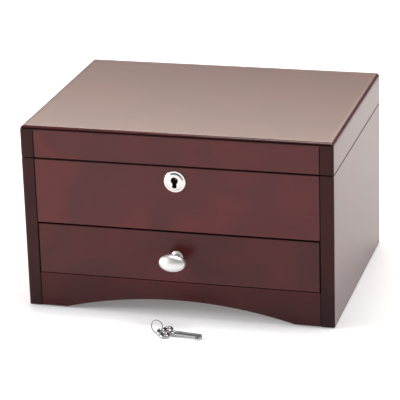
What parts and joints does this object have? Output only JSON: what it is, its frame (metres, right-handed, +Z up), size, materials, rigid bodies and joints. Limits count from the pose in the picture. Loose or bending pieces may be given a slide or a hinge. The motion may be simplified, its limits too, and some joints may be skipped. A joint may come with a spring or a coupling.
{
  "type": "jewelry chest",
  "caption": "Lacquered wooden jewelry chest: hinged lid over a lined compartment, front drawer with an oval knob, box lock with round escutcheon, arched apron, and its barrel key on a ring.",
  "frame": {"origin": "on the surface that the chest stands on, in the middle of the footprint of the chest and its key together", "axes": "+X to the chest's right as seen from the front, +Y to its back, +Z up; the front faces -Y"},
  "size_m": [0.29, 0.277, 0.1755],
  "materials": {
    "red_lacquer": "dark cherry satin lacquer over wood, smooth with no open grain",
    "stained_wood": "stained and sealed wood, dull",
    "satin_nickel": "satin nickel plate",
    "polished_nickel": "polished nickel plate",
    "brass": "plated brass",
    "steel": "bright zinc plated steel",
    "ivory_velvet": "short pile velvet",
    "mirror": "bevelled mirror glass",
    "black_felt": "self-adhesive felt pad"
  },
  "bodies": {
    "case": {"left_side_panel": "red_lacquer", "right_side_panel": "red_lacquer", "back_panel": "red_lacquer", "compartment_floor": "stained_wood", "bottom_board": "stained_wood", "apron": "red_lacquer", "foot_pad_front_left": "black_felt", "foot_pad_front_right": "black_felt", "foot_pad_back_left": "black_felt", "foot_pad_back_right": "black_felt", "front_panel": "red_lacquer", "escutcheon": "polished_nickel", "lock_case": "steel", "lock_screw_left": "brass", "lock_screw_right": "brass", "lock_drill_pin": "steel", "hinge_left_lower_leaf": "brass", "hinge_left_pin": "steel", "hinge_left_lower_screw_1": "brass", "hinge_left_lower_screw_2": "brass", "hinge_right_lower_leaf": "brass", "hinge_right_pin": "steel", "hinge_right_lower_screw_1": "brass", "hinge_right_lower_screw_2": "brass", "compartment_lining": "ivory_velvet", "long_divider": "ivory_velvet", "front_divider": "ivory_velvet", "back_divider": "ivory_velvet", "ring_roll_1": "ivory_velvet", "ring_roll_2": "ivory_velvet", "ring_roll_3": "ivory_velvet", "ring_roll_4": "ivory_velvet"},
    "lid": {"lid_left_rail": "red_lacquer", "lid_right_rail": "red_lacquer", "lid_front_rail": "red_lacquer", "lid_back_rail": "red_lacquer", "lid_top": "red_lacquer", "lid_lining": "ivory_velvet", "lid_mirror": "mirror", "strike_plate": "steel", "strike_screw_left": "brass", "strike_screw_right": "brass", "hinge_left_upper_leaf": "brass", "hinge_left_upper_screw_1": "brass", "hinge_left_upper_screw_2": "brass", "hinge_right_upper_leaf": "brass", "hinge_right_upper_screw_1": "brass", "hinge_right_upper_screw_2": "brass"},
    "drawer": {"drawer_front": "red_lacquer", "drawer_left_side": "stained_wood", "drawer_right_side": "stained_wood", "drawer_back": "stained_wood", "drawer_bottom": "stained_wood", "drawer_lining": "ivory_velvet", "drawer_knob": "satin_nickel", "knob_screw": "steel"},
    "lock_bolt": {"lock_bolt": "steel"},
    "key": {"key": "polished_nickel"},
    "key_ring": {"key_ring": "polished_nickel"}
  },
  "joints": [
    {"name": "lid_hinge", "type": "hinge", "parent": "case", "child": "lid", "pos_m": [0, 0.1367, 0.1453], "axis": [-1, 0, 0], "range_deg": [0, 95]},
    {"name": "drawer_slide", "type": "slide", "parent": "case", "child": "drawer", "axis": [0, -1, 0], "range_m": [0, 0.14]},
    {"name": "lock_bolt_slide", "type": "slide", "parent": "case", "child": "lock_bolt", "axis": [1, 0, 0], "range_m": [0, 0.0035]},
    {"name": "key_lift", "type": "slide", "parent": "case", "child": "key", "axis": [0, 0, 1], "range_m": [0, 0.1]},
    {"name": "key_ring_tip", "type": "hinge", "parent": "key", "child": "key_ring", "pos_m": [-0.0093, -0.12709, 0.00287], "axis": [0.9511, -0.309, 0], "range_deg": [0, 40]}
  ]
}
